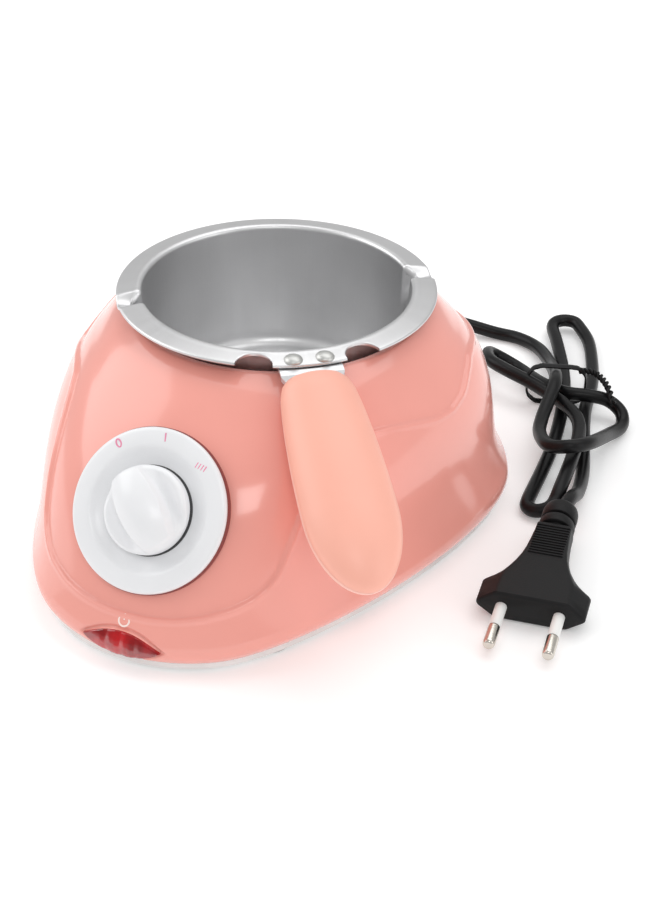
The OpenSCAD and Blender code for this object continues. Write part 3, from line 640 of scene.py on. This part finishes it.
def surface_at(x, z):
    """Point and outward normal of the front of the housing at a place across and up."""
    t = (z - BASE_Z) / (MOUTH_Z - BASE_Z)
    lo, hi = math.radians(180), math.radians(360)
    for _ in range(50):
        mid = (lo + hi) / 2
        q = skin(np.array(mid), np.array(t))
        if q[0] < x:
            lo = mid
        else:
            hi = mid
    a = np.array([lo - 0.01, lo, lo + 0.01])
    g = skin(*np.meshgrid(a, np.array([t - 0.01, t, t + 0.01])))
    n = np.cross(g[1, 2] - g[1, 0], g[2, 1] - g[0, 1])
    return g[1, 1], n / np.linalg.norm(n)


def make_lens():
    """Faceted red window that stands a little proud of the body."""
    us = np.linspace(-1, 1, 85)
    vs = np.linspace(-1, 1, 21)
    front, back = [], []
    for u in us:
        x = u * (LENS_W - 0.15)
        half = math.sqrt(LENS_R ** 2 - x * x) - (LENS_R - LENS_H) - 0.1
        half = max(half, 0.02)
        row_f, row_b = [], []
        for v in vs:
            z = LENS_Z + v * half
            q, n = surface_at(x, z)
            edge = min(1.0, (1 - abs(v)) * half / 0.7)
            facet = 0.0
            for cx in (-5.0, 0.0, 5.0):
                facet += 0.32 * max(0.0, 1 - abs(x - cx) / 1.6)
            rise = 0.75 * math.sqrt(max(0.0, edge * (2 - edge))) - 0.12 - facet * smoothstep(edge)
            row_f.append(q + n * rise)
            row_b.append(q - n * 1.8)
        front.append(row_f)
        back.append(row_b)
    rings = [np.concatenate([f, np.array(b)[::-1]]) for f, b in zip(front, back)]
    ob = loft("lens_window", rings, sharp=50)
    dress(ob, "lens_red", "casing", "power_lens")


make_lens()


def make_power_mark():
    """A ring with a bar in its gap, raised on the body above the lens."""
    q, n = surface_at(0, 15.9)
    across = np.cross((0, 0, 1), n)
    across /= np.linalg.norm(across)
    up = np.cross(n, across)
    place = frame_place(q + n * 0.02, -across, up, n)
    arc = [(1.75 * math.sin(k), 1.75 * math.cos(k), 0)
           for k in np.linspace(math.radians(38), math.radians(322), 40)]
    ring = tube("power_mark_ring", place(arc), 0.3, 10, up=tuple(n), flat=0.6)
    bar = tube("power_mark_bar", place([(0, 0.25, 0), (0, 1.2, 0), (0, 2.2, 0)]), 0.3, 10,
               up=tuple(n), flat=0.6)
    for ob in (ring, bar):
        dress(ob, "pink_shell", "casing", mat=MARK_PALE)


make_power_mark()


# ---------------------------------------------------------------- dial

def make_dial():
    """Dished ring, two rings of painted shade in the gaps round the bezel and round the knob, and
    its marks.
    """
    profile = [(4.7, -2.2), (15.5, -2.2), (17.1, -1.4), (20.6, -0.9), (20.6, -3.3), (22.3, -3.3),
               (22.3, -1.15), (24.9, -1.15), (24.95, -0.35), (25.35, -0.25), (25.5, 0.05),
               (25.5, 0.6), (25.42, 1.0), (25.2, 1.35), (24.8, 1.6), (24.2, 1.75), (22, 1.88),
               (20.4, 1.9), (19.7, 1.8), (19.1, 1.5), (18.3, 0.95), (17.3, 0.4), (16.3, 0.0),
               (15.4, -0.3), (14.6, -0.45), (4.7, -0.45)]
    ring = lathe("dial_ring", profile, at_dial, 160, sharp=40, closed=True)
    dress(ring, "dial_white", "casing", "dial_bezel")

    # Painted shade: a dark pink ring in the gap round the bezel stands in for the shade that falls
    # there.
    bezel_shade_ring = lathe("dial_painted_shade_ring", [(24.6, -2), (25.7, -2), (25.7, 0.06), (25.65, 0.12), (25.45, 0.12),
                               (24.6, 0.1)], at_dial, 160, sharp=40, closed=True)
    dress(bezel_shade_ring, "pink_shell", "casing", mat=PAINTED_SHADE_PINK)
    # Painted shadow: a near-black ring under the knob's edge stands in for the shadow in the gap
    # round it.
    knob_shadow_ring = lathe("knob_painted_shadow_ring", [(11.5, -0.9), (14.0, -0.9), (14.0, -0.34), (13.95, -0.3),
                               (11.5, -0.3)], at_dial, 120, sharp=40, closed=True)
    dress(knob_shadow_ring, "dial_white", "casing", mat=PAINTED_SHADOW_GREY)

    def mark_place(angle, radius, turn=None):
        k = math.radians(angle)
        t = k if turn is None else math.radians(turn)
        out = np.array([math.sin(k), math.cos(k), 0]) * radius
        up = np.array([math.sin(t), math.cos(t), 0])
        side = np.array([math.cos(t), -math.sin(t), 0])
        return lambda p: at_dial([out + up * q[1] + side * q[0] + np.array([0, 0, 1.86 + q[2]])
                                  for q in p])

    oval = [(0.75 * math.cos(k), 1.3 * math.sin(k), 0)
            for k in np.linspace(0, 2 * math.pi, 33)[:-1]]
    normal = tuple(DIAL_N)
    zero = tube("mark_zero", mark_place(-40, 22.9)(oval), 0.26, 8, closed=True, up=normal,
                flat=0.35)
    dress(zero, "dial_white", "casing", mat=MARK_PINK)
    one = tube("mark_one", mark_place(0, 22.7)([(0.2, -1.3, 0), (0, 0, 0), (-0.2, 1.3, 0)]),
               0.24, 8, up=normal, flat=0.35)
    dress(one, "dial_white", "casing", mat=MARK_PINK)
    for i in range(4):
        x = -1.5 + i
        bar = tube("mark_four_%d" % (i + 1),
                   mark_place(39.5, 21.5, 12)([(x - 0.15, -0.9, 0), (x, 0, 0), (x + 0.15, 0.9, 0)]),
                   0.2, 8, up=normal, flat=0.35)
        dress(bar, "dial_white", "casing", mat=MARK_PINK)


make_dial()

OFF_ANGLE = math.radians(42)  # finger bar at the off mark, from the up-slope line
KNOB_R = 13.7


def knob_height(u, v):
    """Top of the knob: a disc with a broad finger bar along u."""
    r = np.hypot(u, v)
    rim = np.clip((r - 12.1) / 1.6, 0, 1)
    disc = 4.9 - 1.2 * rim ** 2.2 - 1.3 * np.exp(-((np.abs(v) - 8.6) / 2.2) ** 2)
    half = 7.3 - 2.6 * (u / 13.0) ** 2
    crown = 10.9 - 2.6 * (np.abs(v) / 7.3) ** 1.8 - 4.0 * (np.abs(u) / 13.7) ** 2.4
    crown = crown - 2.6 * np.clip((r - 12.3) / 1.4, 0, 1) ** 2
    w = smoothstep((half - np.abs(v) + 0.35) / 1.0)
    return disc + (np.maximum(crown, disc) - disc) * w


def make_knob():
    """Hollow foot, side and shaped top of the knob."""
    n = 200
    ang = np.linspace(0, 2 * math.pi, n, endpoint=False)
    c, s = math.cos(OFF_ANGLE), math.sin(OFF_ANGLE)

    def spin(p):
        p = np.asarray(p, float)
        return at_dial(np.stack([p[..., 0] * c - p[..., 1] * s, p[..., 0] * s + p[..., 1] * c,
                                 p[..., 2]], -1))

    rings = []
    for r, z in ((9.0, 3.4), (9.0, 0.45), (12.9, 0.42), (13.35, 0.5), (13.6, 0.8), (KNOB_R, 1.3)):
        rings.append(np.stack([r * np.cos(ang), r * np.sin(ang), np.full(n, z)], -1))
    edge = knob_height(KNOB_R * np.sin(ang), KNOB_R * np.cos(ang))
    for k in (0.35, 0.7, 0.92):
        rings.append(np.stack([KNOB_R * np.cos(ang), KNOB_R * np.sin(ang),
                               1.3 + (edge - 1.3) * k], -1))
    radii = np.concatenate([np.linspace(KNOB_R, 12.0, 12), np.linspace(11.8, 0.2, 56)])
    for r in radii:
        x, y = r * np.cos(ang), r * np.sin(ang)
        rings.append(np.stack([x, y, knob_height(y, x)], -1))
    ob = loft("knob_cap", [spin(r) for r in rings], sharp=50)
    dress(ob, "dial_white", "knob", "control_knob")


make_knob()


# ---------------------------------------------------------------- handle

HANDLE_ANGLE, GRIP_SLOPE, GRIP_YAW = math.radians(36.8), math.radians(27.5), math.radians(2.5)
GRIP_START = (57, 0, 75)
GRIP_LEN, GRIP_W, GRIP_H = 74.0, 29.4, 18.0
SWELL_AT, TAIL = 0.64, 0.36  # share of the grip up to its widest place, and after it
HANDLE_OUT = np.array([math.sin(HANDLE_ANGLE), -math.cos(HANDLE_ANGLE), 0])
HANDLE_SIDE = np.array([math.cos(HANDLE_ANGLE), math.sin(HANDLE_ANGLE), 0])
at_handle = frame_place((0, POT_Y, 0), HANDLE_OUT, HANDLE_SIDE, (0, 0, 1))


def grip_frame():
    """Places the grip: yawed and sloping down from the bracket."""
    out = HANDLE_OUT * math.cos(GRIP_YAW) + HANDLE_SIDE * math.sin(GRIP_YAW)
    side = HANDLE_SIDE * math.cos(GRIP_YAW) - HANDLE_OUT * math.sin(GRIP_YAW)
    along = out * math.cos(GRIP_SLOPE) - np.array([0, 0, math.sin(GRIP_SLOPE)])
    return frame_place(at_handle([GRIP_START])[0], along, side, np.cross(along, side))


at_grip = grip_frame()


def swell(u):
    """Width of the grip at share u of its length, as a share of the greatest width."""
    body = 0.68 + 0.32 * np.sin(np.radians(90) * np.minimum(1, u / SWELL_AT)) ** 0.51
    tail = np.sqrt(np.maximum(0, 1 - (np.maximum(u - SWELL_AT, 0) / TAIL) ** 2))
    return body * np.where(u < SWELL_AT, 1, tail)


def make_grip(name, upper, slot_name, node):
    """Half of the grip, closed at the parting plane with a small chamfer."""
    rows, k = 70, 40
    us = 0.9995 * (1 - (1 - np.linspace(0, 1, rows)) ** 1.8)
    rings = []
    sign = 1 if upper else -1
    for i, u in enumerate(us):
        edge = min(1.0, i / 3) ** 0.5
        w = max(0.35, swell(u) * GRIP_W / 2 * (0.90 + 0.10 * edge))
        h = max(0.35, swell(u) * GRIP_H / 2 * (0.88 + 0.12 * edge))
        if not upper:
            h *= 1 - 0.6 * max(0.0, 1 - u / 0.5)
        x = u * GRIP_LEN
        ring = []
        for a in np.linspace(0, math.pi, k):
            y, z = w * math.cos(a), h * math.sin(a)
            squash = 0.3 * math.exp(-(z / 0.5) ** 2)
            y -= math.copysign(min(squash, w * 0.3), y)
            ring.append((x, y, sign * (z + 0.1)))
        rings.append(at_grip(ring))
    ob = loft(name, rings, sharp=55, flip=not upper)
    dress(ob, slot_name, "pot_body", node)


make_grip("grip_top", True, "handle_peach", "handle_outer_shell")
make_grip("grip_bottom", False, "handle_pale", "handle_inner_shell")


FLANGE_R, CREST_R = 53.0, 47.0
LIP_HALF = 4.6  # half the width of a pouring lip
NOTCH_AT, NOTCH_R, NOTCH_TURN = 53.3, 6.0, 19.3
NOTCH_SLOPE = 1.0 / 6.1  # rise of the flange's edge for each millimetre that a notch cuts in


def flange_edge(turn):
    """Outer radius of the flange at an angle in degrees from the handle."""
    edge = FLANGE_R
    for centre in (-NOTCH_TURN, NOTCH_TURN):
        d = math.radians((turn - centre + 180) % 360 - 180)
        inside = NOTCH_R ** 2 - (NOTCH_AT * math.sin(d)) ** 2
        if inside > 0 and abs(d) < 1:
            edge = min(edge, NOTCH_AT * math.cos(d) - math.sqrt(inside))
    return edge


def make_pot():
    """Spun pot: rolled crest, sloping flange with two notches, two pouring lips, stepped floor."""
    turns = set(np.arange(0, 360, 0.75))
    for centre in (-NOTCH_TURN, NOTCH_TURN):
        for d in (6.0, 6.2, 6.3, 6.38, 6.43, 6.455, 6.47, 6.5):
            turns |= {(centre + d) % 360, (centre - d) % 360}
    turns = np.array(sorted(turns))
    edge = np.array([flange_edge(t) for t in turns])
    rad = np.radians(turns)
    z0 = 33.7
    outer = [(0.05, z0), (20, z0), (38, z0), (39.6, z0 + 0.4), (41.4, z0 + 1.6), (42.3, z0 + 3.2),
             (42.9, z0 + 5)]
    outer += [(42.9 + 2.5 * k, 38.7 + 38.3 * k) for k in np.linspace(0.1, 1, 14)]
    outer += [(45.75, 77.7), (46.3, 78.15), (47.0, 78.3)]
    under = [(k, 78.3 - 0.75 * k) for k in np.linspace(0.12, 0.97, 7)]
    top = [(1.0, 77.62), (1.015, 77.9), (1.01, 78.25), (0.98, 78.47)]
    top += [(k, 78.5 + 1.0 * (1 - k) ** 0.85) for k in np.linspace(0.92, 0.08, 9)]
    inner = [(46.9, 79.56), (46.4, 79.62), (45.9, 79.6), (45.4, 79.5), (45.0, 79.28), (44.7, 78.9),
             (44.55, 78.4), (44.5, 77.8)]
    inner += [(44.5 - 2.5 * k, 77.4 - 38.5 * k) for k in np.linspace(0.02, 1, 22)]
    inner += [(41.6, z0 + 3.6), (40.9, z0 + 2.3), (39.6, z0 + 1.3), (38, z0 + 0.9),
              (30.4, z0 + 0.9), (29.9, z0 + 1.0), (29.0, z0 + 1.7), (28.4, z0 + 1.8),
              (14, z0 + 1.8), (0.05, z0 + 1.8)]
    rings = []
    for kind, rows in (("wall", outer), ("flange", under), ("flange", top), ("wall", inner)):
        for a, z in rows:
            flange = kind == "flange"
            r = CREST_R + (edge - CREST_R) * a if flange else np.full(len(rad), float(a))
            z = np.full(len(rad), float(z))
            if flange:
                z = z + (FLANGE_R - edge) * a * NOTCH_SLOPE
            side = np.abs(r * np.cos(rad))
            lip = np.where(side < LIP_HALF, (1 - np.minimum(1, side / LIP_HALF) ** 2) ** 1.5, 0)
            reach = smoothstep((z - 64) / 15)
            r = r + lip * 3.3 * reach * smoothstep((49 - r) / 4)
            z = z - lip * np.where(z > 77, 1, 0) * (3.7 - 0.28 * np.maximum(0, r - 45))
            rings.append(np.stack([r * np.cos(rad), r * np.sin(rad), z], -1))
    ob = loft("pot_shell", [at_handle(r) for r in rings], sharp=48)
    dress(ob, "pot_aluminium", "pot_body", "pot")


make_pot()


def make_rivets():
    """Two domed rivets through the pot's tab and the bracket."""
    head = [(0, 79.0), (3.0, 78.6), (3.05, 78.8), (3.0, 79.1), (2.75, 79.5), (2.35, 79.85),
            (1.8, 80.12), (1.2, 80.3), (0.6, 80.38), (0, 80.4)]
    stem = [(0, 75.25), (2.4, 75.25), (2.4, 76.0), (1.24, 76.1), (1.24, 78.5)]
    for i, s in enumerate((-5, 5)):
        place = frame_place(at_handle([(50, s, 0)])[0], HANDLE_OUT, HANDLE_SIDE, (0, 0, 1))
        ob = lathe("rivet_%d" % (i + 1), stem + head[1:], place, 40)
        dress(ob, "zinc_screw", "pot_body", "handle_rivets")


make_rivets()


# ---------------------------------------------------------------- CAD nodes that stay

SLOTS = {s["node"]: s["material_slot"] for s in frame["record"]["subparts"]}
for node_name, ob in frame["nodes"].items():
    if ob.hide_render:
        continue
    mat = MATS[SLOTS[node_name]]
    if not ob.material_slots:
        ob.data.materials.append(mat)
    for s in ob.material_slots:
        s.material = mat


# ---------------------------------------------------------------- floor and light

FLOOR_HALF, FLOOR_Z = 3000, -0.3


def make_stage():
    """A white floor with a faint glow of its own."""
    corners = [(sx * FLOOR_HALF, sy * FLOOR_HALF, FLOOR_Z)
               for sx, sy in ((-1, -1), (1, -1), (1, 1), (-1, 1))]
    floor = new_mesh("floor", corners, [(0, 1, 2, 3)], smooth=False)
    floor.data.materials.append(material("floor_white", (0.9, 0.9, 0.9), 0.8, vary=0.004, scale=3,
                                         bump=0, spec=0.2))
    glow = floor.data.materials[0].node_tree.nodes["Principled BSDF"]
    glow.inputs["Emission Color"].default_value = (1, 1, 1, 1)
    glow.inputs["Emission Strength"].default_value = 0.22


def area_light(name, place, aim, size, power):
    """A white rectangular light that faces a point; all in metres and watts."""
    data = bpy.data.lights.new(name, "AREA")
    data.shape = "RECTANGLE"
    data.size, data.size_y = size
    data.energy = power
    ob = bpy.data.objects.new(name, data)
    bpy.context.scene.collection.objects.link(ob)
    direction = Vector(aim) - Vector(place)
    ob.matrix_world = (Matrix.Translation(Vector(place))
                       @ direction.to_track_quat("-Z", "Y").to_matrix().to_4x4())


def make_lights():
    """Four soft lights, a white world and the plain view transform."""
    area_light("key_left", (-1.0, -0.15, 0.85), (0, 0, 0.03), (1.2, 0.9), 6.0)
    area_light("top", (0.15, 0.5, 1.3), (0.02, 0, 0.03), (1.6, 1.0), 6.5)
    area_light("front_high", (0.42, -0.75, 1.0), (0, 0, 0.03), (0.35, 0.35), 1.6)
    area_light("fill_right", (1.1, -0.1, 0.45), (0.03, 0, 0.03), (0.6, 0.8), 1.8)
    world = bpy.data.worlds.new("studio")
    bpy.context.scene.world = world
    world.use_nodes = True
    back = world.node_tree.nodes["Background"]
    back.inputs["Color"].default_value = (1, 1, 1, 1)
    back.inputs["Strength"].default_value = 0.58
    bpy.context.scene.view_settings.view_transform = "Standard"
    bpy.context.scene.view_settings.look = "None"


make_stage()
make_lights()
